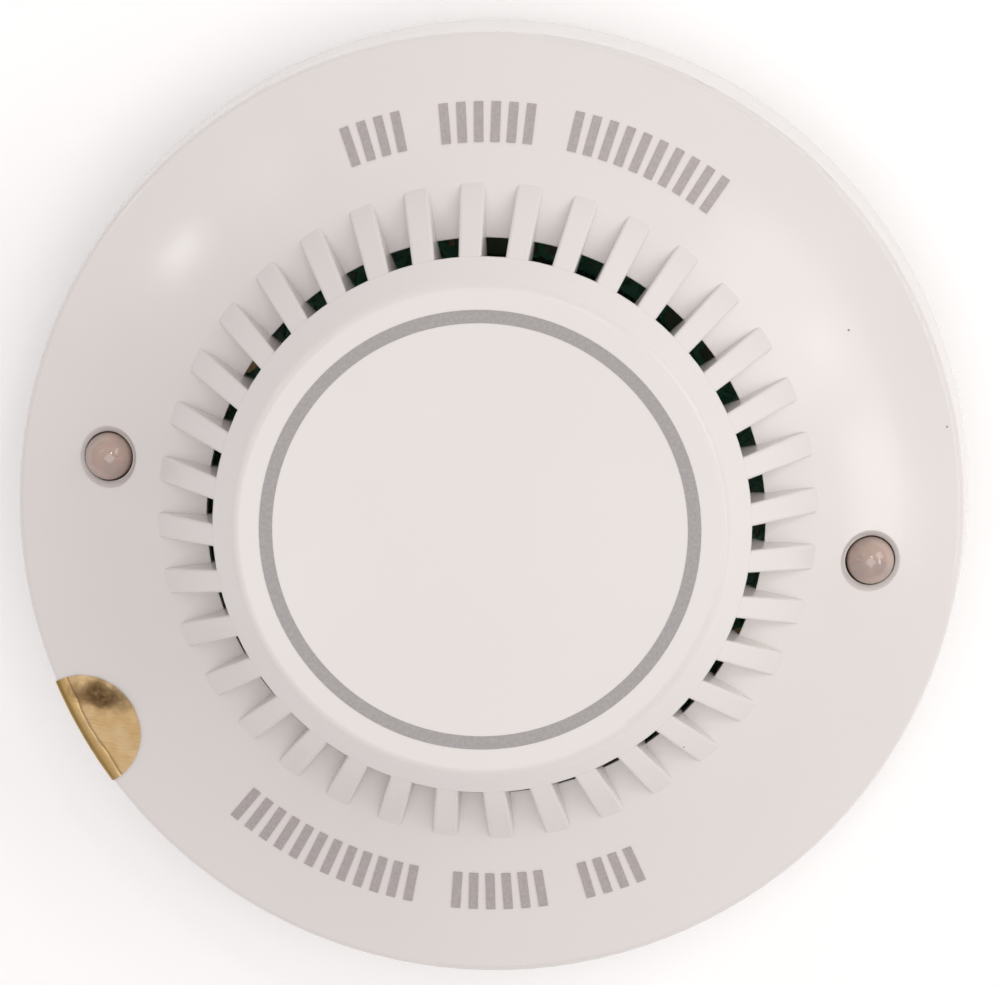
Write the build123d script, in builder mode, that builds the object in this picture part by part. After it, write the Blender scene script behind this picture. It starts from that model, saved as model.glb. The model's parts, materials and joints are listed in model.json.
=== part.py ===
from build123d import *
from math import cos, hypot, radians, sin, sqrt
import os

# Point-type optical smoke detector: a white head that twists into a round mounting base.
# The origin is the centre of the base's back face. +Z points from the ceiling into the room,
# and the two indicator LEDs lie on the X axis. Millimetres throughout.

# ---- overall sizes ----
SKIRT_R = 50.0            # open edge of the cover's skirt, the widest point
SKIRT_BOTTOM = 5.5        # height of that edge above the ceiling
RIM_R = 49.4              # outer corner of the flange, before it is rounded
RIM_Z = 18.0
RIM_ROUND = 0.8
LIP_R = 28.85             # inner edge of the flange, the sill of every slot
LIP_Z = 27.4
FLARE_R = 66.33           # radius of the flange's hollow curve
WALL = 1.8                # thickness of the cover's mouldings
CAP_TOP = 39.2
CAP_EDGE_Z = 35.2         # lower edge of the cap, the head of every slot
CAP_EDGE_R = 27.55
CAP_OVERHANG = 0.05       # how far the cap's side stands proud of the fins
CONE_SLOPE = 1.667        # drop per unit of radius along the cap's side and the fins
CAP_ROUND = 1.2
CAP_UNDERSIDE = 37.3
CAP_INNER_R = 26.25
FIN_COUNT = 36
FIN_WIDTH = 2.3
FIN_FOOT_WIDTH = 2.7      # the fins' sides have a slight draft
FIN_INNER_R = 26.4
FIN_TOP = 36.4            # the fins run up into the cap's wall
FIN_ROUND = 0.3
FIN_START = 0.02          # first fin, just clear of the seam of the turned faces
POST_R = 2.6              # posts under the cover that take the housing screws
SCREW_PITCH_R = 32.0
SCREW_ANGLE = 12.0        # first housing screw, clear of the base's mounting slots

# ---- indicator LEDs ----
LED_PITCH_R = 40.0
LED_R = 2.5
LED_TIP = 22.8
LED_HOLE_R = 2.6
LED_DISH_R = 3.35
LED_DISH_DEPTH = 0.8

# ---- circuit board ----
BOARD_R = 44.4
BOARD_BOTTOM = 12.2
BOARD_TOP = 13.8

# ---- optical chamber ----
SCREEN_R = 26.0
SCREEN_WALL = 0.25
SCREEN_TOP = 33.3
CHAMBER_R = 25.2
CHAMBER_FLOOR_TOP = 15.2
VANE_TOP = 31.8
CHAMBER_TOP = 33.2
VANE_PITCH_R = 20.4
VANE_WALL = 1.0
EMITTER_ANGLE = 195.0
RECEIVER_ANGLE = 330.0
OPTIC_Z = 22.5
OPTIC_BLOCK = 8.0
OPTIC_BLOCK_R = 18.0
OPTIC_BACK_R = 23.2

# ---- rear housing and bayonet ----
HOUSING_R = 47.3
HOUSING_FLOOR = 8.6
HOUSING_WALL = 1.6
COLLAR_R = 38.0
COLLAR_BOTTOM = 2.8
TAB_R = 42.3
TAB_BOTTOM = 5.0
TAB_THICK = 1.5
TAB_HALF_ANGLE = 6.5
TAB_ANGLES = (30.0, 150.0, 270.0)
BAYONET_GAP = 0.3

# ---- mounting base ----
BASE_R = 47.0
BASE_FLOOR = 2.2
BASE_WALL = 2.4
BASE_TOP = 8.2
CABLE_HOLE_R = 14.0
LEDGE_R = 40.2
SLOT_SPACING = 60.0
SLOT_LENGTH = 8.0
SLOT_WIDTH = 4.5
POCKET_DEPTH = 1.0

# ---- contacts, each drawn along the tangent of its own circle ----
CONTACT_R = 28.0
CONTACT_ANGLES = (45.0, 135.0, 225.0, 315.0)
STRIP = 0.6
STRIP_WIDTH = 6.0
PAD_TOP = 3.4
BLADE_Z = 4.5
TERMINAL_T = -10.0        # terminal screw, along the tangent from the contact's centre
RIVET_T = 11.5

SIDE = Plane.XZ           # radius across, height up: the plane of every turned profile


def circle_height(radius, depth=0.0):
    """Height of the flange's hollow surface at a radius, or of its underside at a depth."""
    mid_r = (RIM_R + LIP_R) / 2
    mid_z = (RIM_Z + LIP_Z) / 2
    chord = hypot(RIM_R - LIP_R, LIP_Z - RIM_Z)
    rise = sqrt(FLARE_R**2 - (chord / 2) ** 2)
    centre_r = mid_r + rise * (LIP_Z - RIM_Z) / chord
    centre_z = mid_z + rise * (RIM_R - LIP_R) / chord
    return centre_z - sqrt((FLARE_R + depth) ** 2 - (centre_r - radius) ** 2)


def flare(start_r, end_r, depth=0.0):
    """The flange's curve between two radii, as an arc through its middle."""
    mid_r = (start_r + end_r) / 2
    points = [(r, circle_height(r, depth)) for r in (start_r, mid_r, end_r)]
    return ThreePointArc(*points)


def cone_radius(height):
    """Radius of the cap's sloping side, which the fins continue down to the flange."""
    return CAP_EDGE_R + (CAP_EDGE_Z - height) / CONE_SLOPE


def polar(radius, angle):
    return (radius * cos(radians(angle)), radius * sin(radians(angle)))


def quarter_turns(radius, first_angle):
    """Four places a quarter of a turn apart."""
    return [polar(radius, first_angle + 90 * step) for step in range(4)]


def tangent_plane(angle, radius=CONTACT_R):
    """A plane facing outwards: its x runs round the circle, its y is height."""
    outward = Vector(*polar(1, angle), 0)
    around = Vector(*polar(1, angle + 90), 0)
    return Plane(origin=outward * radius, x_dir=around, z_dir=outward)


def contact_point(angle, along, radius=CONTACT_R):
    """A point on a contact's tangent line, in the plan of the detector."""
    across_x, across_y = polar(radius, angle)
    along_x, along_y = polar(along, angle + 90)
    return (across_x + along_x, across_y + along_y)


def annular_tab(inner_r, outer_r, first_angle, last_angle):
    """A flat piece of a ring, for a sketch."""
    middle = (first_angle + last_angle) / 2
    with BuildLine() as outline:
        Line(polar(inner_r, first_angle), polar(outer_r, first_angle))
        ThreePointArc(polar(outer_r, first_angle), polar(outer_r, middle), polar(outer_r, last_angle))
        Line(polar(outer_r, last_angle), polar(inner_r, last_angle))
        ThreePointArc(polar(inner_r, last_angle), polar(inner_r, middle), polar(inner_r, first_angle))
    make_face(outline.edges())


def finish(builder, name):
    """Label a finished piece and write its file."""
    builder.part.label = name
    export_step(builder.part, f"parts/{name}.step")


os.makedirs("parts", exist_ok=True)
screw_places = quarter_turns(SCREW_PITCH_R, SCREW_ANGLE)
rivet_places = [contact_point(angle, RIVET_T) for angle in CONTACT_ANGLES]
optic_angles = (EMITTER_ANGLE, RECEIVER_ANGLE)
lead_places = [
    contact_point(angle, side, OPTIC_BACK_R + 1.0) for angle in optic_angles for side in (-1.27, 1.27)
]
led_lead_places = [(side * LED_PITCH_R, lead) for side in (-1, 1) for lead in (-1.27, 1.27)]


# ======================= the head: cover =======================
# Posts under the flange, cut to its hollow underside.
with BuildPart() as cover_posts:
    with BuildSketch(Plane.XY.offset(BOARD_TOP)):
        with Locations(*screw_places):
            Circle(POST_R)
    extrude(amount=LIP_Z - BOARD_TOP)
    with BuildSketch(SIDE):
        with BuildLine():
            Line((LIP_R, BOARD_TOP), (RIM_R, BOARD_TOP))
            Line((RIM_R, BOARD_TOP), (RIM_R, circle_height(RIM_R, WALL / 2)))
            flare(RIM_R, LIP_R, WALL / 2)
            Line((LIP_R, circle_height(LIP_R, WALL / 2)), (LIP_R, BOARD_TOP))
        make_face()
    revolve(axis=Axis.Z, mode=Mode.INTERSECT)

# One fin: a bar with drafted sides, trimmed to the cone that it shares with the cap.
fin_foot_z = circle_height(cone_radius(RIM_Z + 5), WALL / 2)
fin_underside_z = circle_height(LIP_R, WALL / 2)
with BuildPart() as fin:
    with BuildSketch(Plane.YZ.offset(FIN_INNER_R - 1)):
        with BuildLine():
            Polyline(
                (-FIN_WIDTH / 2, FIN_TOP),
                (FIN_WIDTH / 2, FIN_TOP),
                (FIN_FOOT_WIDTH / 2, fin_foot_z),
                (-FIN_FOOT_WIDTH / 2, fin_foot_z),
                close=True,
            )
        make_face()
    extrude(amount=RIM_R - FIN_INNER_R)
    with BuildSketch(SIDE):
        with BuildLine():
            Polyline(
                (FIN_INNER_R, FIN_TOP),
                (cone_radius(FIN_TOP), FIN_TOP),
                (cone_radius(fin_foot_z), fin_foot_z),
                (LIP_R + 0.5, fin_underside_z),
                (FIN_INNER_R, fin_underside_z),
                close=True,
            )
        make_face()
    revolve(axis=Axis.Z, mode=Mode.INTERSECT)
    sloping_face = fin.faces().filter_by(GeomType.CONE).sort_by(Axis.Z)[-1]
    fillet(sloping_face.edges().filter_by(lambda edge: edge.length > 5), FIN_ROUND)

with BuildPart() as outer_cover:
    with PolarLocations(0, FIN_COUNT, start_angle=FIN_START):
        add(fin.part)
    # Cap: a flat disc with a rounded edge and a sloping side.
    with BuildSketch(SIDE):
        with BuildLine():
            Polyline(
                (0, CAP_TOP),
                (cone_radius(CAP_TOP) + CAP_OVERHANG, CAP_TOP),
                (CAP_EDGE_R + CAP_OVERHANG, CAP_EDGE_Z),
                (CAP_INNER_R, CAP_EDGE_Z),
                (CAP_INNER_R - 1.0, CAP_UNDERSIDE),
                (0, CAP_UNDERSIDE),
                close=True,
            )
        cap_face = make_face()
        fillet(cap_face.vertices().sort_by_distance((cone_radius(CAP_TOP) + CAP_OVERHANG, CAP_TOP))[0], CAP_ROUND)
    revolve(axis=Axis.Z)
    # Flange and skirt: one turned wall with a rounded rim and an open back.
    with BuildSketch(SIDE):
        with BuildLine():
            flare(LIP_R, RIM_R)
            Line((RIM_R, circle_height(RIM_R)), (SKIRT_R, SKIRT_BOTTOM))
            Line((SKIRT_R, SKIRT_BOTTOM), (SKIRT_R - WALL, SKIRT_BOTTOM))
            Line((SKIRT_R - WALL, SKIRT_BOTTOM), (RIM_R - WALL, circle_height(RIM_R - WALL, WALL)))
            flare(RIM_R - WALL, LIP_R, WALL)
            Line((LIP_R, circle_height(LIP_R, WALL)), (LIP_R, circle_height(LIP_R)))
        flange_face = make_face()
        fillet(flange_face.vertices().sort_by_distance((RIM_R, RIM_Z))[0], RIM_ROUND)
    revolve(axis=Axis.Z)
    add(cover_posts.part)
    with BuildSketch(Plane.XY.offset(BOARD_TOP)):
        with Locations(*screw_places):
            Circle(1.3)
    extrude(amount=7.0, mode=Mode.SUBTRACT)
    # LED holes, each with a dished mouth square to the sloping flange.
    with BuildSketch(Plane.XY.offset(RIM_Z - WALL)):
        with Locations((LED_PITCH_R, 0), (-LED_PITCH_R, 0)):
            Circle(LED_HOLE_R)
    extrude(amount=LIP_Z - RIM_Z, mode=Mode.SUBTRACT)
    slope = (circle_height(LED_PITCH_R - 1) - circle_height(LED_PITCH_R + 1)) / 2
    for side in (-1, 1):
        normal = Vector(side * slope, 0, 1)
        mouth = Vector(side * LED_PITCH_R, 0, circle_height(LED_PITCH_R))
        dish_top = Plane(origin=mouth, z_dir=normal)
        with BuildSketch(dish_top.offset(0.1)):
            Circle(LED_DISH_R)
        with BuildSketch(dish_top.offset(-LED_DISH_DEPTH)):
            Circle(LED_HOLE_R)
        loft(mode=Mode.SUBTRACT)
finish(outer_cover, "outer_cover")


# ======================= printing and seal on the cover =======================
INK = 0.05
RING_INNER_R = 21.15
RING_OUTER_R = 22.5
MARK_INNER_R = 38.3
MARK_OUTER_R = 42.4
MARK_WIDTH = 0.95
MARK_GROUPS = {90.2: (10, 6, 4), 269.0: (12, 6, 4)}  # middle of an arc: bars in its groups
MARK_STEP = 2.5           # degrees from bar to bar
MARK_GROUP_GAP = 4.4      # degrees added between groups
FILM = 0.12
FILM_GAP = 0.03
SEAL_R = 6.0
SEAL_ANGLE = 217.0
SEAL_CENTRE_R = 49.0
SEAL_INNER_R = 40.0       # the film's section starts inside the seal's reach

with BuildPart() as printed_ring:
    with BuildSketch(Plane.XY.offset(CAP_TOP)):
        Circle(RING_OUTER_R)
        Circle(RING_INNER_R, mode=Mode.SUBTRACT)
    extrude(amount=INK)
finish(printed_ring, "printed_ring")


def mark_angles(middle):
    """Angles of the plain bars of one arc, in groups, centred on an angle."""
    angles = []
    angle = 0.0
    for count in MARK_GROUPS[middle]:
        for _ in range(count):
            angles.append(angle)
            angle += MARK_STEP
        angle += MARK_GROUP_GAP
    shift = middle - (angles[0] + angles[-1]) / 2
    return [angle + shift for angle in angles]


with BuildPart() as printed_marks:
    with BuildSketch(Plane.XY.offset(RIM_Z)):
        for angle in [angle for middle in MARK_GROUPS for angle in mark_angles(middle)]:
            with Locations(Location((*polar((MARK_INNER_R + MARK_OUTER_R) / 2, angle), 0), (0, 0, angle))):
                Rectangle(MARK_OUTER_R - MARK_INNER_R, MARK_WIDTH)
    extrude(amount=LIP_Z - RIM_Z)
    with BuildSketch(SIDE):
        with BuildLine():
            flare(MARK_INNER_R - 1, MARK_OUTER_R + 1, -FILM_GAP)
            outer_low = (MARK_OUTER_R + 1, circle_height(MARK_OUTER_R + 1, -FILM_GAP))
            outer_high = (MARK_OUTER_R + 1, circle_height(MARK_OUTER_R + 1, -FILM_GAP - INK))
            Line(outer_low, outer_high)
            flare(MARK_OUTER_R + 1, MARK_INNER_R - 1, -FILM_GAP - INK)
            inner_high = (MARK_INNER_R - 1, circle_height(MARK_INNER_R - 1, -FILM_GAP - INK))
            inner_low = (MARK_INNER_R - 1, circle_height(MARK_INNER_R - 1, -FILM_GAP))
            Line(inner_high, inner_low)
        make_face()
    revolve(axis=Axis.Z, mode=Mode.INTERSECT)
finish(printed_marks, "printed_marks")


def film_corner(gap):
    """The rim's sharp corner, moved out from the cover by a gap."""
    return (RIM_R + gap, circle_height(RIM_R + gap, -gap))


# A round foil seal folded over the rim: half on the flange, half on the skirt.
with BuildPart() as tamper_seal:
    seal_x, seal_y = polar(SEAL_CENTRE_R, SEAL_ANGLE)
    with BuildSketch(Plane.XY.offset(RIM_Z - RIM_ROUND)):
        with Locations((seal_x, seal_y)):
            Circle(SEAL_R)
    extrude(amount=LIP_Z - RIM_Z)
    with BuildSketch(tangent_plane(SEAL_ANGLE, SKIRT_R + 1)):
        with Locations((0, RIM_Z - RIM_ROUND / 2)):
            Circle(SEAL_R)
    extrude(amount=SEAL_CENTRE_R - SKIRT_R - 1)
    with BuildSketch(SIDE):
        with BuildLine():
            flare(SEAL_INNER_R, RIM_R + FILM_GAP, -FILM_GAP)
            Polyline(
                film_corner(FILM_GAP),
                (SKIRT_R + FILM_GAP, SKIRT_BOTTOM),
                (SKIRT_R + FILM_GAP + FILM, SKIRT_BOTTOM),
                film_corner(FILM_GAP + FILM),
            )
            flare(RIM_R + FILM_GAP + FILM, SEAL_INNER_R, -FILM_GAP - FILM)
            inner_high = (SEAL_INNER_R, circle_height(SEAL_INNER_R, -FILM_GAP - FILM))
            inner_low = (SEAL_INNER_R, circle_height(SEAL_INNER_R, -FILM_GAP))
            Line(inner_high, inner_low)
        film_face = make_face()
        corners = [
            film_face.vertices().sort_by_distance(film_corner(gap))[0]
            for gap in (FILM_GAP, FILM_GAP + FILM)
        ]
        fillet(corners, RIM_ROUND + FILM_GAP)
    revolve(axis=Axis.Z, mode=Mode.INTERSECT)
finish(tamper_seal, "tamper_seal")


# ======================= LEDs and optics =======================
def led_profile(length, lens_r=LED_R, flange_r=2.9, flange_thick=1.0):
    """Half section of a domed LED standing on the origin, for turning about its axis."""
    with BuildLine() as outline:
        Line((0, 0), (flange_r, 0))
        Line((flange_r, 0), (flange_r, flange_thick))
        Line((flange_r, flange_thick), (lens_r, flange_thick))
        Line((lens_r, flange_thick), (lens_r, length - lens_r))
        RadiusArc((lens_r, length - lens_r), (0, length), -lens_r)
        Line((0, length), (0, 0))
    make_face(outline.edges())


for number, side in ((1, 1), (2, -1)):
    with BuildPart() as indicator_led:
        stand = Plane(origin=(side * LED_PITCH_R, 0, BOARD_TOP), x_dir=(1, 0, 0), z_dir=(0, -1, 0))
        with BuildSketch(stand):
            led_profile(LED_TIP - BOARD_TOP)
        revolve(axis=Axis((side * LED_PITCH_R, 0, 0), (0, 0, 1)))
    finish(indicator_led, f"indicator_led_{number}")

with BuildPart() as led_leads:
    with BuildSketch(Plane.XY.offset(BOARD_BOTTOM - 1.0)):
        with Locations(*led_lead_places):
            Rectangle(0.5, 0.5)
    extrude(amount=BOARD_TOP - BOARD_BOTTOM + 1.0)
finish(led_leads, "led_leads")


def optic(name, angle, length):
    """A domed infra-red part lying in its block, pointing at the chamber's centre."""
    back_x, back_y = polar(OPTIC_BACK_R, angle)
    inward = polar(-1, angle)
    up = Vector(0, 0, 1)
    pointing = Vector(*inward, 0)
    half_section = Plane(origin=(back_x, back_y, OPTIC_Z), x_dir=up, z_dir=up.cross(pointing))
    with BuildPart() as body:
        with BuildSketch(half_section):
            led_profile(length)
        revolve(axis=Axis((back_x, back_y, OPTIC_Z), inward + (0,)))
        # Two legs that bend down behind the body and pass through the board.
        for side in (-1.27, 1.27):
            foot = contact_point(angle, side, OPTIC_BACK_R + 1.0)
            root = contact_point(angle, side, OPTIC_BACK_R + 0.5)
            with Locations(Location((*root, OPTIC_Z), (0, 0, angle))):
                Box(1.5, 0.5, 0.5)
            with BuildSketch(Plane.XY.offset(BOARD_BOTTOM - 1.0)):
                with Locations(Location((*foot, 0), (0, 0, angle))):
                    Rectangle(0.5, 0.5)
            extrude(amount=OPTIC_Z - BOARD_BOTTOM + 1.25)
    finish(body, name)


optic("ir_emitter", EMITTER_ANGLE, 8.2)
optic("photodiode", RECEIVER_ANGLE, 7.0)


# ======================= optical chamber =======================
def radial_axis_plane(angle, radius, height):
    """A plane across a radius, facing outwards, at a height."""
    outward = Vector(*polar(1, angle), 0)
    around = Vector(*polar(1, angle + 90), 0)
    return Plane(origin=(*polar(radius, angle), height), x_dir=around, z_dir=outward)


vane_angles = [step * 30.0 for step in range(12)]
clear_vane_angles = [
    angle for angle in vane_angles if min(abs(angle - optic_angle) for optic_angle in optic_angles) > 20
]

with BuildPart() as chamber_base:
    with BuildSketch(Plane.XY.offset(BOARD_TOP)):
        Circle(CHAMBER_R)
    extrude(amount=CHAMBER_FLOOR_TOP - BOARD_TOP)
    # Slanted vanes with a short hook keep light out and let smoke in.
    with BuildSketch(Plane.XY.offset(CHAMBER_FLOOR_TOP)):
        for angle in clear_vane_angles:
            with Locations(Location((*polar(VANE_PITCH_R, angle), 0), (0, 0, angle + 50))):
                Rectangle(8.0, VANE_WALL)
            with Locations(Location((*polar(VANE_PITCH_R + 2.4, angle + 8), 0), (0, 0, angle - 10))):
                Rectangle(2.6, VANE_WALL)
    extrude(amount=VANE_TOP - CHAMBER_FLOOR_TOP)
    # Blocks that hold the emitter and the photodiode.
    with BuildSketch(Plane.XY.offset(CHAMBER_FLOOR_TOP)):
        for angle in optic_angles:
            with Locations(Location((*polar(OPTIC_BLOCK_R, angle), 0), (0, 0, angle))):
                Rectangle(OPTIC_BLOCK, OPTIC_BLOCK)
    extrude(amount=OPTIC_Z + 4.5 - CHAMBER_FLOOR_TOP)
    for angle in optic_angles:
        with BuildSketch(radial_axis_plane(angle, OPTIC_BLOCK_R - OPTIC_BLOCK, OPTIC_Z)):
            Circle(LED_R + 0.05)
        extrude(amount=2 * OPTIC_BLOCK, mode=Mode.SUBTRACT)
    with BuildSketch(Plane.XY.offset(BOARD_TOP)):
        with Locations(*lead_places):
            Circle(0.5)
    extrude(amount=CHAMBER_FLOOR_TOP - BOARD_TOP, mode=Mode.SUBTRACT)
finish(chamber_base, "chamber_base")

with BuildPart() as chamber_lid:
    with BuildSketch(Plane.XY.offset(VANE_TOP)):
        Circle(CHAMBER_R)
    extrude(amount=CHAMBER_TOP - VANE_TOP)
    with BuildSketch(Plane.XY.offset(VANE_TOP)):
        Circle(CHAMBER_R)
        Circle(CHAMBER_R - 0.8, mode=Mode.SUBTRACT)
    extrude(amount=-1.6)
    # Rings under the lid scatter stray light.
    for ring_r in (6.0, 10.0, 14.0):
        with BuildSketch(Plane.XY.offset(VANE_TOP)):
            Circle(ring_r)
            Circle(ring_r - 0.8, mode=Mode.SUBTRACT)
        extrude(amount=-1.2)
finish(chamber_lid, "chamber_lid")

with BuildPart() as insect_screen:
    with BuildSketch(Plane.XY.offset(BOARD_TOP)):
        Circle(SCREEN_R)
        Circle(SCREEN_R - SCREEN_WALL, mode=Mode.SUBTRACT)
    extrude(amount=SCREEN_TOP - BOARD_TOP)
finish(insect_screen, "insect_screen")

with BuildPart() as photodiode_shield:
    shield_gap = 0.15
    shield_wall = 0.4
    inner = OPTIC_BLOCK + 2 * shield_gap
    outer = inner + 2 * shield_wall
    block_top = OPTIC_Z + 4.5 + shield_gap
    centre = polar(OPTIC_BLOCK_R, RECEIVER_ANGLE)
    with BuildSketch(Plane.XY.offset(CHAMBER_FLOOR_TOP)):
        with Locations(Location((*centre, 0), (0, 0, RECEIVER_ANGLE))):
            Rectangle(outer, outer)
    extrude(amount=block_top + shield_wall - CHAMBER_FLOOR_TOP)
    with BuildSketch(Plane.XY.offset(CHAMBER_FLOOR_TOP)):
        with Locations(Location((*centre, 0), (0, 0, RECEIVER_ANGLE))):
            Rectangle(inner, inner)
    extrude(amount=block_top - CHAMBER_FLOOR_TOP, mode=Mode.SUBTRACT)
    with BuildSketch(radial_axis_plane(RECEIVER_ANGLE, OPTIC_BLOCK_R - OPTIC_BLOCK, OPTIC_Z)):
        Circle(LED_R + 0.3)
    extrude(amount=OPTIC_BLOCK, mode=Mode.SUBTRACT)
    with BuildSketch(radial_axis_plane(RECEIVER_ANGLE, OPTIC_BLOCK_R + 2, CHAMBER_FLOOR_TOP)):
        with Locations((0, OPTIC_BLOCK / 2)):
            Rectangle(OPTIC_BLOCK - 2, OPTIC_BLOCK)
    extrude(amount=OPTIC_BLOCK, mode=Mode.SUBTRACT)
    with BuildSketch(radial_axis_plane(RECEIVER_ANGLE, OPTIC_BLOCK_R + 2, OPTIC_Z)):
        Circle(LED_R + 0.7)
    extrude(amount=OPTIC_BLOCK, mode=Mode.SUBTRACT)
finish(photodiode_shield, "photodiode_shield")


# ======================= circuit board and its parts =======================
with BuildPart() as circuit_board:
    with BuildSketch(Plane.XY.offset(BOARD_BOTTOM)):
        Circle(BOARD_R)
        with Locations(*screw_places):
            Circle(1.7, mode=Mode.SUBTRACT)
        with Locations(*rivet_places):
            Circle(1.3, mode=Mode.SUBTRACT)
        with Locations(*lead_places, *led_lead_places):
            Circle(0.45, mode=Mode.SUBTRACT)
        # Notches that key the board to the housing.
        with PolarLocations(BOARD_R, 3, start_angle=60):
            Rectangle(3.0, 4.0, mode=Mode.SUBTRACT)
    extrude(amount=BOARD_TOP - BOARD_BOTTOM)
finish(circuit_board, "circuit_board")


def chip(name, radius, angle, length, width, height, leads):
    """A small-outline chip lying along the tangent, with gull-wing leads on both long sides."""
    pitch = 1.27
    place = Location((*polar(radius, angle), BOARD_TOP), (0, 0, angle + 90))
    with BuildPart() as body:
        with Locations(place * Location((0, 0, 0.1))):
            Box(length, width, height, align=(Align.CENTER, Align.CENTER, Align.MIN))
        chamfer(body.edges().group_by(Axis.Z)[-1], 0.25)
        for lead in range(leads // 2):
            along = (lead - (leads // 2 - 1) / 2) * pitch
            for side in (-1, 1):
                with Locations(place * Location((along, side * (width / 2 + 0.2), 0.5))):
                    Box(0.4, 0.6, 0.2)
                with Locations(place * Location((along, side * (width / 2 + 0.45), 0))):
                    Box(0.4, 0.2, 0.6, align=(Align.CENTER, Align.CENTER, Align.MIN))
                with Locations(place * Location((along, side * (width / 2 + 0.7), 0))):
                    Box(0.4, 0.6, 0.2, align=(Align.CENTER, Align.CENTER, Align.MIN))
    finish(body, name)


chip("controller_chip", 37.5, 92.0, 10.0, 3.9, 1.5, 16)
chip("amplifier_chip", 37.0, 262.0, 4.9, 3.9, 1.5, 8)


def chip_group(name, places, size):
    """Small blocks soldered flat on the board, each lying along the tangent."""
    length, width, height = size
    with BuildPart() as group:
        for radius, angle in places:
            with Locations(Location((*polar(radius, angle), BOARD_TOP), (0, 0, angle + 90))):
                Box(length, width, height, align=(Align.CENTER, Align.CENTER, Align.MIN))
    finish(group, name)


resistor_places = [(42.2, 18 + 7.5 * step) for step in range(5)]
resistor_places += [(42.2, 112 + 7.5 * step) for step in range(3)]
resistor_places += [(42.2, 192 + 7.5 * step) for step in range(5)]
resistor_places += [(35.0, 290 + 6.5 * step) for step in range(3)]
capacitor_places = [(38.4, 20 + 8 * step) for step in range(2)]
capacitor_places += [(38.4, 195 + 8 * step) for step in range(2)]
capacitor_places += [(42.2, 285 + 7 * step) for step in range(2)]
capacitor_places += [(42.2, 322 + 7 * step) for step in range(2)]
rectifier_places = [(37.8, 44 + 9 * step) for step in range(4)]
chip_group("chip_resistors", resistor_places, (2.0, 1.25, 0.5))
chip_group("chip_capacitors", capacitor_places, (2.0, 1.25, 1.0))
chip_group("rectifier_diodes", rectifier_places, (4.3, 2.6, 2.1))

can_height = 6.0
for number, angle in ((1, 128.0), (2, 146.0)):
    with BuildPart() as electrolytic:
        with BuildSketch(Plane.XY.offset(BOARD_TOP)):
            with Locations(polar(35.5, angle)):
                Circle(2.5)
        extrude(amount=can_height)
        fillet(electrolytic.edges().group_by(Axis.Z)[-1], 0.4)
        # The sleeve's crimped groove near the board.
        groove_at = Location((*polar(35.5, angle), BOARD_TOP + 1.2))
        with Locations(groove_at):
            Torus(2.75, 0.45, mode=Mode.SUBTRACT)
    finish(electrolytic, f"electrolytic_capacitor_{number}")

with BuildPart() as reed_switch:
    reed_height = BOARD_TOP + 1.5
    reed_plane = Plane(
        origin=(*polar(38.0, 235.0), reed_height),
        x_dir=Vector(*polar(1, 235.0), 0),
        z_dir=Vector(*polar(1, 325.0), 0),
    )
    with BuildSketch(reed_plane.offset(-6)):
        Circle(1.1)
    extrude(amount=12)
    fillet(reed_switch.edges(), 0.6)
    for side in (-1, 1):
        with BuildSketch(reed_plane.offset(side * 5.5)):
            Circle(0.3)
        extrude(amount=side * 2.5)
        foot = contact_point(235.0, side * 7.7, 38.0)
        with BuildSketch(Plane.XY.offset(BOARD_TOP)):
            with Locations(foot):
                Circle(0.3)
        extrude(amount=reed_height - BOARD_TOP + 0.2)
finish(reed_switch, "reed_switch")


# ======================= rear housing =======================
with BuildPart() as rear_housing:
    with BuildSketch(Plane.XY.offset(HOUSING_FLOOR)):
        Circle(HOUSING_R)
    extrude(amount=HOUSING_WALL)
    with BuildSketch(Plane.XY.offset(HOUSING_FLOOR)):
        Circle(HOUSING_R)
        Circle(HOUSING_R - HOUSING_WALL, mode=Mode.SUBTRACT)
    extrude(amount=BOARD_TOP - HOUSING_FLOOR)
    # Collar on the back that carries the bayonet tabs.
    with BuildSketch(Plane.XY.offset(COLLAR_BOTTOM)):
        Circle(COLLAR_R)
        Circle(COLLAR_R - HOUSING_WALL, mode=Mode.SUBTRACT)
    extrude(amount=HOUSING_FLOOR - COLLAR_BOTTOM)
    with BuildSketch(Plane.XY.offset(TAB_BOTTOM)):
        for angle in TAB_ANGLES:
            annular_tab(COLLAR_R - 0.5, TAB_R, angle - TAB_HALF_ANGLE, angle + TAB_HALF_ANGLE)
    extrude(amount=TAB_THICK)
    # Bosses under the board for the screws and the rivets.
    with BuildSketch(Plane.XY.offset(HOUSING_FLOOR + HOUSING_WALL)):
        with Locations(*screw_places):
            Circle(3.2)
        with Locations(*rivet_places):
            Circle(2.4)
    extrude(amount=BOARD_BOTTOM - HOUSING_FLOOR - HOUSING_WALL)
    with BuildSketch(Plane.XY.offset(HOUSING_FLOOR)):
        with Locations(*screw_places):
            Circle(1.6)
        with Locations(*rivet_places):
            Circle(1.3)
    extrude(amount=BOARD_BOTTOM - HOUSING_FLOOR, mode=Mode.SUBTRACT)
    # Stiffening ribs between the collar and the rim, over the tabs' ring.
    with BuildSketch(Plane.XY.offset(HOUSING_FLOOR + HOUSING_WALL)):
        with PolarLocations((HOUSING_R + COLLAR_R) / 2 + 0.5, 18, start_angle=10):
            Rectangle(6.5, 0.9)
    extrude(amount=0.8)
finish(rear_housing, "rear_housing")


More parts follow.
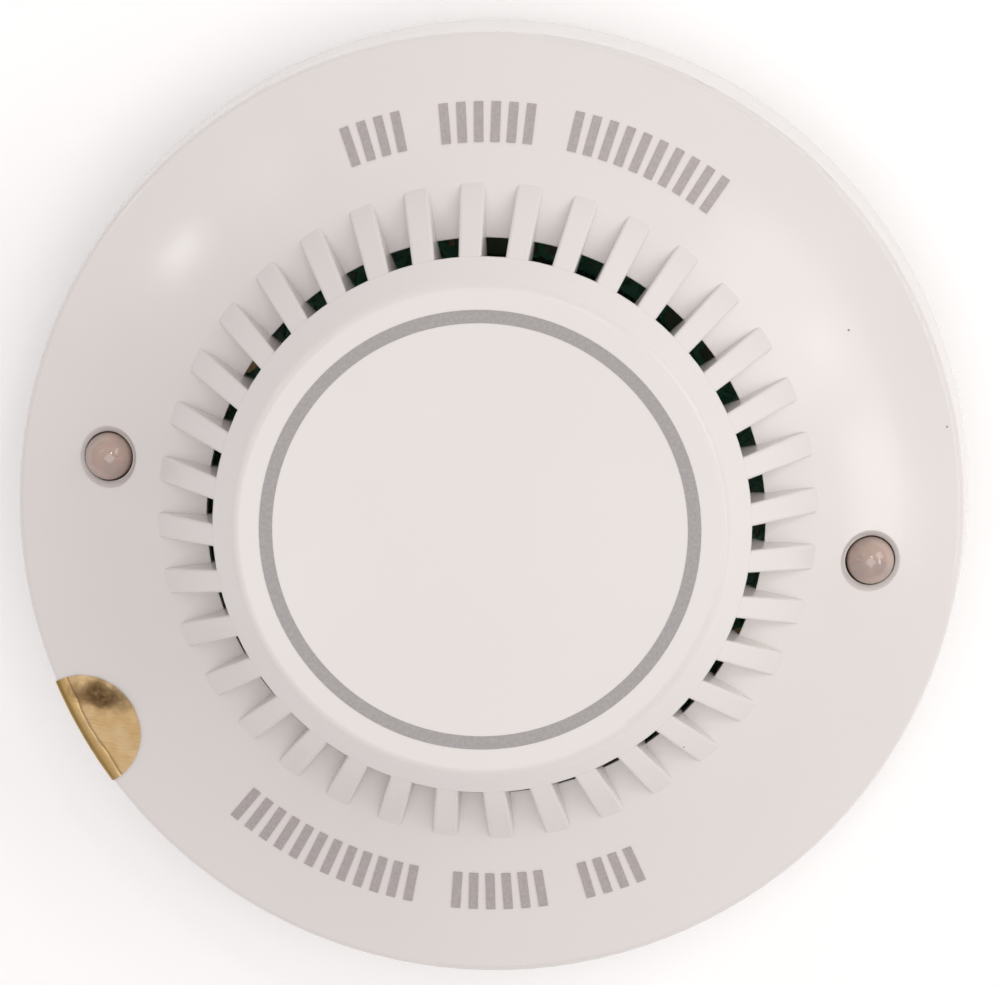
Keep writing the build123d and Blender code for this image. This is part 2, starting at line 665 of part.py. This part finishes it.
# ======================= contacts in the head =======================
for number, angle in enumerate(CONTACT_ANGLES, start=1):
    with BuildPart() as contact_blade:
        # Foot under the housing, a riser, and the tongue that slides into the base's spring.
        with BuildSketch(tangent_plane(angle, CONTACT_R + STRIP_WIDTH / 2)):
            with BuildLine():
                Polyline(
                    (-3.5, BLADE_Z),
                    (6.5, BLADE_Z),
                    (6.5, HOUSING_FLOOR - STRIP),
                    (15.0, HOUSING_FLOOR - STRIP),
                    (15.0, HOUSING_FLOOR),
                    (6.5 - STRIP, HOUSING_FLOOR),
                    (6.5 - STRIP, BLADE_Z + STRIP),
                    (-3.0, BLADE_Z + STRIP),
                    (-3.5, BLADE_Z + STRIP / 2),
                    close=True,
                )
            make_face()
        extrude(amount=-STRIP_WIDTH)
        with BuildSketch(Plane.XY.offset(HOUSING_FLOOR - 2 * STRIP)):
            with Locations(contact_point(angle, RIVET_T)):
                Circle(1.3)
        extrude(amount=2 * STRIP, mode=Mode.SUBTRACT)
    finish(contact_blade, f"contact_blade_{number}")

with BuildPart() as contact_rivets:
    with BuildSketch(Plane.XY.offset(HOUSING_FLOOR - STRIP)):
        with Locations(*rivet_places):
            Circle(1.25)
    extrude(amount=BOARD_TOP + 0.4 - HOUSING_FLOOR + STRIP)
    with BuildSketch(Plane.XY.offset(HOUSING_FLOOR - STRIP)):
        with Locations(*rivet_places):
            Circle(2.2)
    extrude(amount=-0.8)
    with BuildSketch(Plane.XY.offset(BOARD_TOP)):
        with Locations(*rivet_places):
            Circle(1.9)
    extrude(amount=0.4)
finish(contact_rivets, "contact_rivets")


def pan_screws(name, places, under_head, head_height, head_r, shank_r, length, upwards):
    """Cross-slotted pan-head screws that share one size. upwards turns the shank to +Z."""
    way = 1 if upwards else -1
    with BuildPart() as screws:
        with BuildSketch(Plane.XY.offset(under_head)):
            with Locations(*places):
                Circle(head_r)
        extrude(amount=-way * head_height)
        crown = Axis.Z if not upwards else Axis((0, 0, 0), (0, 0, -1))
        fillet(screws.edges().group_by(crown)[-1], head_height * 0.45)
        with BuildSketch(Plane.XY.offset(under_head)):
            with Locations(*places):
                Circle(shank_r)
        extrude(amount=way * length)
        # The cross recess in the head.
        with BuildSketch(Plane.XY.offset(under_head - way * head_height)):
            with Locations(*places):
                Rectangle(head_r * 1.1, head_r * 0.24)
                Rectangle(head_r * 0.24, head_r * 1.1)
        extrude(amount=way * head_height * 0.6, mode=Mode.SUBTRACT)
    finish(screws, name)


pan_screws("housing_screws", screw_places, HOUSING_FLOOR, 1.6, 2.6, 1.25, 11.0, True)


# ======================= mounting base =======================
terminal_places = [contact_point(angle, TERMINAL_T) for angle in CONTACT_ANGLES]

with BuildPart() as base_body:
    with BuildSketch():
        Circle(BASE_R)
        Circle(CABLE_HOLE_R, mode=Mode.SUBTRACT)
        with GridLocations(SLOT_SPACING, 0, 2, 1):
            SlotOverall(SLOT_LENGTH, SLOT_WIDTH, mode=Mode.SUBTRACT)
    extrude(amount=BASE_FLOOR)
    # Outer wall, and a low collar round the cable hole.
    with BuildSketch(Plane.XY.offset(BASE_FLOOR)):
        Circle(BASE_R)
        Circle(BASE_R - BASE_WALL, mode=Mode.SUBTRACT)
    extrude(amount=BASE_TOP - BASE_FLOOR)
    with BuildSketch(Plane.XY.offset(BASE_FLOOR)):
        Circle(CABLE_HOLE_R + 1.6)
        Circle(CABLE_HOLE_R, mode=Mode.SUBTRACT)
    extrude(amount=2.0)
    # Ledges that hold the head's tabs down, each with a stop at its locked end.
    ledge_bottom = TAB_BOTTOM + TAB_THICK + BAYONET_GAP
    stop_angle = TAB_HALF_ANGLE + 0.4
    with BuildSketch(Plane.XY.offset(ledge_bottom)):
        for angle in TAB_ANGLES:
            annular_tab(LEDGE_R, BASE_R - BASE_WALL + 0.5, angle - stop_angle - 2, angle + TAB_HALF_ANGLE)
    extrude(amount=BASE_TOP - ledge_bottom)
    with BuildSketch(Plane.XY.offset(BASE_FLOOR)):
        for angle in TAB_ANGLES:
            annular_tab(LEDGE_R, BASE_R - BASE_WALL + 0.5, angle - stop_angle - 2, angle - stop_angle)
    extrude(amount=BASE_TOP - BASE_FLOOR)
    # Raised blocks under the contacts: a tall one at the screw, a rest under each blade.
    for angle in CONTACT_ANGLES:
        terminal = Location((*contact_point(angle, TERMINAL_T), BASE_FLOOR), (0, 0, angle + 90))
        with Locations(terminal):
            Box(11.0, 7.0, PAD_TOP - BASE_FLOOR, align=(Align.CENTER, Align.CENTER, Align.MIN))
        rest = Location((*contact_point(angle, 1.0), BASE_FLOOR), (0, 0, angle + 90))
        with Locations(rest):
            Box(7.0, 6.0, BLADE_Z - 0.2 - BASE_FLOOR, align=(Align.CENTER, Align.CENTER, Align.MIN))
    with BuildSketch(Plane.XY.offset(PAD_TOP)):
        with Locations(*terminal_places):
            Circle(1.5)
    extrude(amount=-2.2, mode=Mode.SUBTRACT)
    # Shallow pockets in the back leave a rim, a hub, spokes and pads round the slots.
    with BuildSketch():
        Circle(43.4)
        Circle(CABLE_HOLE_R + 2.6, mode=Mode.SUBTRACT)
        with PolarLocations(0, 6, start_angle=0, angular_range=360):
            Rectangle(2 * BASE_R, 1.6, mode=Mode.SUBTRACT)
        with GridLocations(SLOT_SPACING, 0, 2, 1):
            SlotOverall(SLOT_LENGTH + 6, SLOT_WIDTH + 6, mode=Mode.SUBTRACT)
        with Locations(*terminal_places):
            Circle(3.4, mode=Mode.SUBTRACT)
    extrude(amount=POCKET_DEPTH, mode=Mode.SUBTRACT)
finish(base_body, "base_body")

for number, angle in enumerate(CONTACT_ANGLES, start=1):
    with BuildPart() as base_contact:
        # Foot under the terminal, a riser, and a leaf that dips on to the blade and flares up.
        with BuildSketch(tangent_plane(angle, CONTACT_R + STRIP_WIDTH / 2)):
            with BuildLine():
                Polyline(
                    (-15.0, PAD_TOP),
                    (-4.6, PAD_TOP),
                    (-4.6, 5.6),
                    (0.6, 5.2),
                    (3.6, 6.0),
                    (3.4, 6.0 + STRIP),
                    (0.6, 5.2 + STRIP),
                    (-5.2, 5.6 + STRIP),
                    (-5.2, PAD_TOP + STRIP),
                    (-15.0, PAD_TOP + STRIP),
                    close=True,
                )
            make_face()
        extrude(amount=-STRIP_WIDTH)
        with BuildSketch(Plane.XY.offset(PAD_TOP)):
            with Locations(contact_point(angle, TERMINAL_T)):
                Circle(1.6)
        extrude(amount=STRIP, mode=Mode.SUBTRACT)
    finish(base_contact, f"base_contact_{number}")

with BuildPart() as clamp_plates:
    for angle in CONTACT_ANGLES:
        plate = Location((*contact_point(angle, TERMINAL_T), PAD_TOP + STRIP), (0, 0, angle + 90))
        with Locations(plate):
            Box(6.4, 6.0, 0.7, align=(Align.CENTER, Align.CENTER, Align.MIN))
    with BuildSketch(Plane.XY.offset(PAD_TOP + STRIP)):
        with Locations(*terminal_places):
            Circle(1.6)
    extrude(amount=0.7, mode=Mode.SUBTRACT)
finish(clamp_plates, "clamp_plates")

pan_screws("terminal_screws", terminal_places, PAD_TOP + STRIP + 0.7, 1.6, 2.7, 1.45, 3.2, False)
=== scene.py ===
# Smoke detector: finishes, lenses, foil seal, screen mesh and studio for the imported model.
import bpy
import json
from math import cos, pi, radians, sin
from mathutils import Matrix, Vector


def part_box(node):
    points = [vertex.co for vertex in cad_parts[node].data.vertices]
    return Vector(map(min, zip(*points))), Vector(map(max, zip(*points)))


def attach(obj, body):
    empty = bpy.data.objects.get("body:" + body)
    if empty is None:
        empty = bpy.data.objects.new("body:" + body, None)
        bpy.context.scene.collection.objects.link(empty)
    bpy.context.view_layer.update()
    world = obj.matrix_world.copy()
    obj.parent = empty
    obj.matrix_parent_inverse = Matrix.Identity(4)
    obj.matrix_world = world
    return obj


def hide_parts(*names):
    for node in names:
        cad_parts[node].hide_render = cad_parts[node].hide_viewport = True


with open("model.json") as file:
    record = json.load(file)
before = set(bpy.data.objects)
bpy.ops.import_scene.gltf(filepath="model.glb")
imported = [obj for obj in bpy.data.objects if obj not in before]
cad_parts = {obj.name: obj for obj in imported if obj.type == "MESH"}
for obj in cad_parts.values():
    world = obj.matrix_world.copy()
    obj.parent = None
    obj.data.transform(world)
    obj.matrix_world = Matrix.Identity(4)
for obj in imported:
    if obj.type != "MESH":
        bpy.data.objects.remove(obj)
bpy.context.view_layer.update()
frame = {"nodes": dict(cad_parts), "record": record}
MM = 0.001

# ---- radii and heights from the frame: part_box() gives a node's lowest and highest corners ----
SKIRT_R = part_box("outer_cover")[1].x
SCREEN_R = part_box("insect_screen")[1].x
LENS_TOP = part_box("indicator_led_1")[1].z

# ---- sizes of the patterns in the materials ----
MATT_R = 31 * MM               # the cover is finely textured within this radius
POLISHED_R = 41 * MM           # and polished beyond this one
WIRE_PITCH = 0.62 * MM
WIRE_HALF_WIDTH = 0.16         # as a part of the pitch
SCREEN_WIRES = round(2 * pi * SCREEN_R / WIRE_PITCH)
DARK_REFLECTION_MIDDLE = (-37.6 * MM, -25.3 * MM, 19.2 * MM)   # middle of the painted dark reflection on the seal


# ======================= shader helper =======================
class Value:
    """A shader socket that works in Python expressions: each operator adds a Math node."""

    def __init__(self, shader, socket):
        self.shader = shader
        self.socket = socket

    def maths(self, operation, *inputs):
        return self.shader.maths(operation, *inputs)

    def __add__(self, other):
        return self.maths("ADD", self, other)

    def __radd__(self, other):
        return self.maths("ADD", other, self)

    def __sub__(self, other):
        return self.maths("SUBTRACT", self, other)

    def __rsub__(self, other):
        return self.maths("SUBTRACT", other, self)

    def __mul__(self, other):
        return self.maths("MULTIPLY", self, other)

    def __truediv__(self, other):
        return self.maths("DIVIDE", self, other)

    def __pow__(self, other):
        return self.maths("POWER", self, other)

    def __gt__(self, other):
        return self.maths("GREATER_THAN", self, other)

    def __lt__(self, other):
        return self.maths("LESS_THAN", self, other)

    def ramp(self, low, high):
        """0 below low, 1 above high, smooth between."""
        settings = {"interpolation_type": "SMOOTHSTEP"}
        return self.shader.node("MapRange", settings, {"Value": self, "From Min": low, "From Max": high})

    def band(self, rise_from, rise_to, fall_from, fall_to):
        """0 outside a band, 1 inside it, smooth at both of its edges."""
        return (1.0 - self.ramp(fall_from, fall_to)) * self.ramp(rise_from, rise_to)


class Shader:
    """One material: a Principled surface and whatever nodes feed it."""

    def __init__(self, name, **uniform):
        self.material = bpy.data.materials.new(name)
        self.material.use_nodes = True
        self.nodes = self.material.node_tree.nodes
        self.links = self.material.node_tree.links
        self.nodes.clear()
        self.surface = self.nodes.new("ShaderNodeBsdfPrincipled")
        output = self.nodes.new("ShaderNodeOutputMaterial")
        self.links.new(self.surface.outputs[0], output.inputs[0])
        for name, value in uniform.items():
            socket = name.replace("_", " ").title().replace("Ior", "IOR")
            self.feed(self.surface.inputs[socket], value)

    def feed(self, socket, value):
        """Links a Value to a socket, or sets a number, a vector or a colour on it."""
        if isinstance(value, Value):
            self.links.new(value.socket, socket)
        elif isinstance(value, tuple) and len(value) == 3 and socket.type == "RGBA":
            socket.default_value = (*value, 1.0)
        else:
            socket.default_value = value

    def node(self, kind, settings=None, inputs=(), output=0):
        """Adds any node: its settings first, then values or links for its sockets."""
        node = self.nodes.new("ShaderNode" + kind)
        for name, value in (settings or {}).items():
            setattr(node, name, value)
        pairs = inputs.items() if isinstance(inputs, dict) else enumerate(inputs)
        for key, value in pairs:
            self.feed(node.inputs[key], value)
        return Value(self, node.outputs[output])

    def maths(self, operation, *inputs):
        return self.node("Math", {"operation": operation}, inputs)

    def position(self):
        return self.node("TexCoord", output="Object")

    def axes(self):
        """x, y, z of the point, in metres."""
        split = self.nodes.new("ShaderNodeSeparateXYZ")
        self.links.new(self.position().socket, split.inputs[0])
        return [Value(self, split.outputs[i]) for i in range(3)]

    def radius(self):
        """Distance of the point from the detector's axis, in metres."""
        x, y = self.axes()[:2]
        return (x * x + y * y) ** 0.5

    def noise(self, size, detail=2.0, roughness=0.5, place=None):
        """A noise whose features measure about size metres."""
        inputs = {"Vector": place or self.position(), "Scale": 1.0 / size, "Detail": detail,
                  "Roughness": roughness}
        return self.node("TexNoise", None, inputs)

    def scratches(self, length, slenderness, turn=0.0):
        """A noise squeezed across one direction of the XY plane, as brushing leaves it."""
        inputs = {"Vector": self.position(), "Rotation": (0, 0, turn), "Scale": (1.0, slenderness, 1.0)}
        return self.noise(length, detail=3.0, place=self.node("Mapping", None, inputs))

    def cells(self, size, feature="F1", output="Distance"):
        """Irregular cells about size metres across."""
        inputs = {"Vector": self.position(), "Scale": 1.0 / size}
        return self.node("TexVoronoi", {"feature": feature}, inputs, output)

    def mix(self, factor, first, second):
        """Blend of two colours."""
        inputs = {0: factor, 6: first, 7: second}
        return self.node("Mix", {"data_type": "RGBA"}, inputs, 2)

    def colour(self, value):
        self.feed(self.surface.inputs["Base Color"], value)

    def rough(self, value):
        self.feed(self.surface.inputs["Roughness"], value)

    def bump(self, height, depth, below=None):
        """Feeds a height pattern, depth metres deep, to the surface normal."""
        inputs = {"Height": height, "Distance": depth, "Strength": 1.0}
        if below is not None:
            inputs["Normal"] = below
        self.feed(self.surface.inputs["Normal"], self.node("Bump", None, inputs))


# ======================= materials =======================
def cover_material():
    """White moulded ABS: a polished flange, finely textured fins and cap, a few specks of dust."""
    s = Shader("cover_white", ior=1.5, specular_ior_level=0.5)
    clouds = s.noise(30 * MM, detail=3.0)
    tone = s.mix(clouds.ramp(0.3, 0.7), (0.80, 0.766, 0.745), (0.82, 0.79, 0.768))
    speck_size = 6 * MM
    chance = s.node("SeparateColor", None, [s.cells(speck_size, output="Color")])
    specks = (s.cells(speck_size) < 0.02) * (chance > 0.66)
    s.colour(s.mix(specks, tone, (0.26, 0.18, 0.16)))
    polished = s.radius().ramp(MATT_R, POLISHED_R)
    smudge = s.noise(9 * MM, detail=4.0, roughness=0.6)
    s.rough(0.24 - polished * 0.07 + smudge.ramp(0.45, 0.75) * 0.025)
    soft_edges = s.node("Bevel", {"samples": 4}, {"Radius": 0.2 * MM})
    s.bump(s.noise(0.3 * MM, detail=2.0), 0.003 * MM, soft_edges)
    return s.material


def ink_material(name, light, dark):
    """Pad-printed ink with a slightly broken density."""
    s = Shader(name, ior=1.45)
    density = s.noise(0.35 * MM, detail=3.0)
    s.colour(s.mix(density.ramp(0.3, 0.75), dark, light))
    s.rough(0.45 + density * 0.1)
    s.bump(density, 0.004 * MM)
    return s.material


def foil_material():
    """Gold metallised film: brushed and unevenly toned, with painted shade along its folds and where it
    bends down over the rim, and a painted dark reflection in one patch.
    """
    s = Shader("gold_foil", metallic=1.0)
    waver = s.noise(3 * MM, detail=2.0)
    mottle = s.noise(0.8 * MM, detail=3.0)
    brushed = s.scratches(1.6 * MM, 14.0, turn=0.9)

    from_skirt = SKIRT_R - s.radius()
    painted_shade_over_rim = 1.0 - from_skirt.ramp(1.2 * MM, 1.7 * MM)
    straight_fold = from_skirt.band(0.45 * MM, 0.7 * MM, 0.75 * MM, 1.15 * MM)
    wavering = from_skirt + (waver - 0.5) * 0.8 * MM
    wavy_fold = wavering.band(1.6 * MM, 1.8 * MM, 1.8 * MM, 2.1 * MM)

    # Painted reflection: a ragged dark patch on the gold, where the film mirrors something dark.
    centred = s.node("VectorMath", {"operation": "SUBTRACT"}, [s.position(), DARK_REFLECTION_MIDDLE])
    drawn_out = {"Vector": centred, "Rotation": (0, 0, 0.35), "Scale": (0.4, 0.78, 0.3)}
    from_dark_reflection = s.node("VectorMath", {"operation": "LENGTH"}, [s.node("Mapping", None, drawn_out)], 1)
    ragged = from_dark_reflection + (waver + mottle - 1.0) * 1.3 * MM
    painted_reflection = 1.0 - ragged.ramp(0.45 * MM, 1.6 * MM)

    gold = s.mix(waver.ramp(0.35, 0.65), (0.92, 0.64, 0.31), (1.0, 0.75, 0.42))
    gold = s.mix(brushed.ramp(0.45, 0.75) * 0.4, gold, (0.60, 0.39, 0.16))
    # Painted shade: the film bent down over the rim onto the side is given a darker gold.
    gold = s.mix(painted_shade_over_rim * 0.75, gold, (0.60, 0.41, 0.14))
    # The painted dark reflection is mixed over the gold here.
    gold = s.mix(painted_reflection * (0.45 + mottle * 0.9), gold, (0.15, 0.085, 0.035))
    # Painted shade: the gold is darkened along both folds, on top of their bump.
    s.colour(s.mix(straight_fold * 0.6 + wavy_fold * 0.5, gold, (0.15, 0.085, 0.03)))
    s.rough(0.26 + brushed * 0.2)
    s.bump(brushed * 0.4 - straight_fold - wavy_fold * 0.5, 0.05 * MM)
    return s.material


def lens_material():
    """Diffused epoxy of an indicator LED: milky and faintly pink, with painted shade low down near the edge
    of its hole, and a polished dome.
    """
    s = Shader("led_lens", ior=1.55, specular_ior_level=0.8, subsurface_weight=0.3,
               subsurface_scale=1.2 * MM)
    cloud = s.noise(2.2 * MM, detail=1.5)
    milky = s.mix(cloud.ramp(0.35, 0.7), (0.52, 0.39, 0.33), (0.42, 0.335, 0.30))
    height = s.axes()[2]
    up_the_dome = height.ramp(LENS_TOP - 2.6 * MM, LENS_TOP - 1.5 * MM)
    # Painted shade: the lens is darkened low down, where it sinks into its hole.
    s.colour(s.mix(up_the_dome, (0.24, 0.16, 0.125), milky))
    s.rough(0.03 + cloud * 0.03)
    return s.material


def moulded_material(name, light, dark, rough, grain_size, grain_depth):
    """Plain moulded plastic with a spark-eroded grain, sized in millimetres, and faint flow marks."""
    s = Shader(name, ior=1.48)
    flow = s.noise(18 * MM, detail=4.0, roughness=0.55)
    s.colour(s.mix(flow.ramp(0.3, 0.75), light, dark))
    grain = s.noise(grain_size * MM, detail=2.0)
    s.rough(rough + grain * 0.12)
    s.bump(grain, grain_depth * MM)
    return s.material


def metal_material(name, light, dark, rough):
    """Sheet or turned metal with fine scratches and a light tarnish."""
    s = Shader(name, metallic=1.0)
    scratch = s.scratches(0.5 * MM, 9.0)
    tarnish = s.noise(4 * MM, detail=4.0)
    s.colour(s.mix(tarnish.ramp(0.35, 0.75), light, dark))
    s.rough(rough + scratch * 0.14 + tarnish.ramp(0.5, 0.8) * 0.1)
    s.bump(scratch, 0.004 * MM)
    return s.material


def screen_material():
    """Woven black wire cloth: open squares between round wires."""
    s = Shader("screen_steel", metallic=0.8)
    x, y, z = s.axes()
    columns = s.maths("ARCTAN2", y, x) * (SCREEN_WIRES / (2 * pi))
    rows = z / WIRE_PITCH
    from_column = s.maths("PINGPONG", columns, 0.5)
    from_row = s.maths("PINGPONG", rows, 0.5)
    wires = s.maths("MAXIMUM", from_column < WIRE_HALF_WIDTH, from_row < WIRE_HALF_WIDTH)
    s.feed(s.surface.inputs["Alpha"], wires)
    dust = s.noise(2 * MM, detail=3.0)
    s.colour(s.mix(dust.ramp(0.5, 0.8), (0.03, 0.03, 0.03), (0.08, 0.075, 0.07)))
    s.rough(0.35 + dust * 0.2)
    s.bump(0.0 - s.maths("MINIMUM", from_column, from_row), 0.1 * MM)
    return s.material


def board_material():
    """Glass-epoxy board: green solder resist over copper tracks and pours, with vias."""
    s = Shader("board_green", ior=1.5)
    warp = s.noise(2.2 * MM, detail=1.0)
    tracks = s.cells(4.2 * MM, feature="DISTANCE_TO_EDGE") + warp * 0.1
    copper = 1.0 - tracks.ramp(0.11, 0.14)
    via = s.cells(4.1 * MM) < 0.09
    pour = s.noise(9 * MM, detail=0.5).ramp(0.52, 0.56)
    resist = s.mix(pour, (0.03, 0.34, 0.17), (0.16, 0.24, 0.08))
    resist = s.mix(copper, resist, (0.06, 0.50, 0.26))
    s.colour(s.mix(via, resist, (0.62, 0.36, 0.16)))
    s.rough(0.22 + warp * 0.1)
    s.bump(copper + pour * 0.6, 0.035 * MM)
    return s.material


def floor_material():
    """Matt white paper that glows a little, so that it stays pale under soft light."""
    s = Shader("studio_floor", ior=1.3, specular_ior_level=0.1)
    s.colour(s.mix(s.noise(0.4, detail=2.0), (0.93, 0.93, 0.93), (0.95, 0.95, 0.95)))
    s.rough(0.9 + s.noise(0.05) * 0.05)
    s.feed(s.surface.inputs["Emission Color"], (1.0, 1.0, 1.0))
    s.feed(s.surface.inputs["Emission Strength"], 0.16)
    return s.material


# Plastics, glass and epoxy: light tone, dark tone, roughness, grain's size and depth in millimetres.
MOULDED = {
    "emitter_lens": ((0.40, 0.50, 0.66), (0.34, 0.43, 0.60), 0.1, 1.0, 0.001),
    "filter_lens": ((0.035, 0.015, 0.03), (0.02, 0.01, 0.018), 0.1, 1.0, 0.001),
    "chamber_black": ((0.016, 0.016, 0.018), (0.010, 0.010, 0.011), 0.55, 0.3, 0.02),
    "chip_black": ((0.022, 0.022, 0.025), (0.016, 0.016, 0.018), 0.45, 0.12, 0.008),
    "resistor_black": ((0.03, 0.03, 0.035), (0.02, 0.02, 0.025), 0.3, 0.2, 0.004),
    "capacitor_tan": ((0.46, 0.33, 0.2), (0.40, 0.28, 0.17), 0.4, 0.2, 0.004),
    "can_sleeve": ((0.03, 0.04, 0.10), (0.02, 0.03, 0.08), 0.25, 0.8, 0.006),
    "reed_glass": ((0.30, 0.42, 0.34), (0.26, 0.38, 0.30), 0.08, 1.0, 0.001),
    "housing_white": ((0.72, 0.70, 0.66), (0.68, 0.66, 0.62), 0.42, 0.25, 0.012),
    "base_white": ((0.78, 0.76, 0.73), (0.75, 0.73, 0.70), 0.48, 0.3, 0.02),
}

# Metals: light tone, dark tone, roughness.
METALS = {
    "tinned_lead": ((0.72, 0.71, 0.69), (0.58, 0.57, 0.55), 0.25),
    "tinned_sheet": ((0.70, 0.70, 0.68), (0.55, 0.55, 0.53), 0.3),
    "brass": ((0.78, 0.60, 0.28), (0.62, 0.45, 0.20), 0.24),
    "screw_steel": ((0.66, 0.67, 0.66), (0.52, 0.52, 0.50), 0.26),
}

FINISHES = {
    "cover_white": cover_material(),
    "print_grey": ink_material("print_grey", (0.50, 0.455, 0.45), (0.43, 0.39, 0.385)),
    "gold_foil": foil_material(),
    "led_lens": lens_material(),
    "screen_steel": screen_material(),
    "board_green": board_material(),
}
FINISHES.update({name: moulded_material(name, *finish) for name, finish in MOULDED.items()})
FINISHES.update({name: metal_material(name, *finish) for name, finish in METALS.items()})


def dress(piece, material):
    """Gives a piece one material in every slot, and at least one slot."""
    if not piece.material_slots:
        piece.data.materials.append(material)
    for slot in piece.material_slots:
        slot.material = material


for part in frame["record"]["subparts"]:
    dress(frame["nodes"][part["node"]], FINISHES[part["material_slot"]])

# The ring on the cap is printed a little darker than the marks on the flange.
ring_ink = ink_material("ring_grey", (0.435, 0.415, 0.41), (0.375, 0.36, 0.355))
dress(frame["nodes"]["printed_ring"], ring_ink)


# ======================= pieces modelled here =======================
def merged_copy(node_name, name):
    """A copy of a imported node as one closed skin, finely divided, so that a modifier can bend it."""
    bpy.ops.object.select_all(action="DESELECT")
    original = frame["nodes"][node_name]
    original.select_set(True)
    bpy.context.view_layer.objects.active = original
    bpy.ops.object.duplicate()
    piece = bpy.context.object
    piece.name = name
    bpy.ops.object.mode_set(mode="EDIT")
    bpy.ops.mesh.select_all(action="SELECT")
    bpy.ops.mesh.remove_doubles(threshold=0.001 * MM)
    bpy.ops.mesh.subdivide(number_cuts=4)
    bpy.ops.mesh.normals_make_consistent(inside=False)
    bpy.ops.object.mode_set(mode="OBJECT")
    bpy.ops.mesh.customdata_custom_splitnormals_clear()
    return piece


def wrinkled_seal():
    """The foil seal as film that doesn't lie flat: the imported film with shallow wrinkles."""
    film = merged_copy("tamper_seal", "foil_film")
    wrinkles = bpy.data.textures.new("film_wrinkles", "CLOUDS")
    wrinkles.noise_scale = 3.2 * MM
    wrinkles.noise_type = "HARD_NOISE"
    wrinkles.noise_depth = 1
    lift = film.modifiers.new("lift", "DISPLACE")
    lift.texture = wrinkles
    lift.texture_coords = "LOCAL"
    lift.direction = "Z"
    lift.mid_level = 0.0
    lift.strength = 0.22 * MM
    bpy.ops.object.modifier_apply(modifier="lift")
    bpy.ops.object.shade_smooth_by_angle(angle=radians(50))
    dress(film, FINISHES["gold_foil"])
    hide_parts("tamper_seal")
    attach(film, "head")


wrinkled_seal()


# ======================= camera =======================
VIEW_TILT = 7.4           # degrees between the line of sight and the detector's axis
VIEW_TURN = 75.6          # direction that the camera leans to, from +X
VIEW_ROLL = 7.55
VIEW_DISTANCE = 0.75
AIM = Vector((1.07 * MM, 2.34 * MM, 25 * MM))


def camera_frame():
    """Right, up and back axes of the camera, as columns of a matrix."""
    tilt, turn, roll = radians(VIEW_TILT), radians(VIEW_TURN), radians(VIEW_ROLL)
    back = Vector((sin(tilt) * cos(turn), sin(tilt) * sin(turn), cos(tilt)))
    right = Vector((0, 1, 0)).cross(back).normalized()
    up = back.cross(right)
    rolled_right = cos(roll) * right + sin(roll) * up
    rolled_up = cos(roll) * up - sin(roll) * right
    return Matrix((rolled_right, rolled_up, back)).transposed()


axes = camera_frame()
camera = bpy.data.objects.new("camera", bpy.data.cameras.new("camera"))
camera.data.lens = 261.0
camera.data.sensor_width = 36.0
camera.data.clip_start = 0.01
camera.matrix_world = Matrix.Translation(AIM + axes.col[2] * VIEW_DISTANCE) @ axes.to_4x4()
bpy.context.scene.collection.objects.link(camera)
bpy.context.scene.camera = camera


# ======================= lights and floor =======================
def softbox(name, around, off_axis, distance, width, height, power, tint):
    """An area light that faces the aim, placed by its direction as the camera sees it."""
    turn, lean = radians(around), radians(off_axis)
    toward = axes @ Vector((sin(lean) * cos(turn), sin(lean) * sin(turn), cos(lean)))
    light = bpy.data.lights.new(name, "AREA")
    light.shape = "RECTANGLE"
    light.size = width
    light.size_y = height
    light.energy = power
    light.color = tint
    lamp = bpy.data.objects.new(name, light)
    facing = toward.to_track_quat("Z", "Y").to_matrix().to_4x4()
    lamp.matrix_world = Matrix.Translation(AIM + toward * distance) @ facing
    bpy.context.scene.collection.objects.link(lamp)


DAYLIGHT = (1.0, 0.99, 0.97)
SKY = (0.92, 0.94, 1.0)
WHITE = (1.0, 1.0, 1.0)
CREAM = (1.0, 1.0, 0.975)
ROOM = (1.0, 0.945, 0.95, 1.0)
ROOM_STRENGTH = 0.565

# Degrees around from the right, degrees off the view line, distance, width, height, watts, tint.
softbox("right_window", 24, 50, 1.1, 0.6, 0.6, 1.9, DAYLIGHT)
softbox("low_right_window", -13, 46, 1.1, 0.34, 0.2, 0.7, DAYLIGHT)
softbox("upper_window", 120, 42, 1.1, 0.07, 0.13, 0.05, SKY)
softbox("left_window", 140, 42, 1.1, 0.12, 0.2, 0.08, SKY)
softbox("left_lamp", 157, 46, 1.1, 0.08, 0.08, 0.2, WHITE)
softbox("middle_lamp", 60, 17, 0.55, 0.055, 0.055, 0.11, WHITE)
softbox("right_lamp", 14, 44, 1.1, 0.08, 0.08, 0.1, WHITE)
softbox("ceiling_bounce", -80, 12, 1.3, 0.9, 0.9, 3.9, CREAM)

world = bpy.data.worlds.new("studio")
world.use_nodes = True
background = world.node_tree.nodes["Background"]
background.inputs["Color"].default_value = ROOM
background.inputs["Strength"].default_value = ROOM_STRENGTH
bpy.context.scene.world = world
bpy.context.scene.view_settings.view_transform = "Standard"

bpy.ops.object.select_all(action="DESELECT")
bpy.ops.mesh.primitive_plane_add(size=6.0, location=(0, 0, 0))
floor = bpy.context.object
floor.name = "studio_floor"
dress(floor, floor_material())
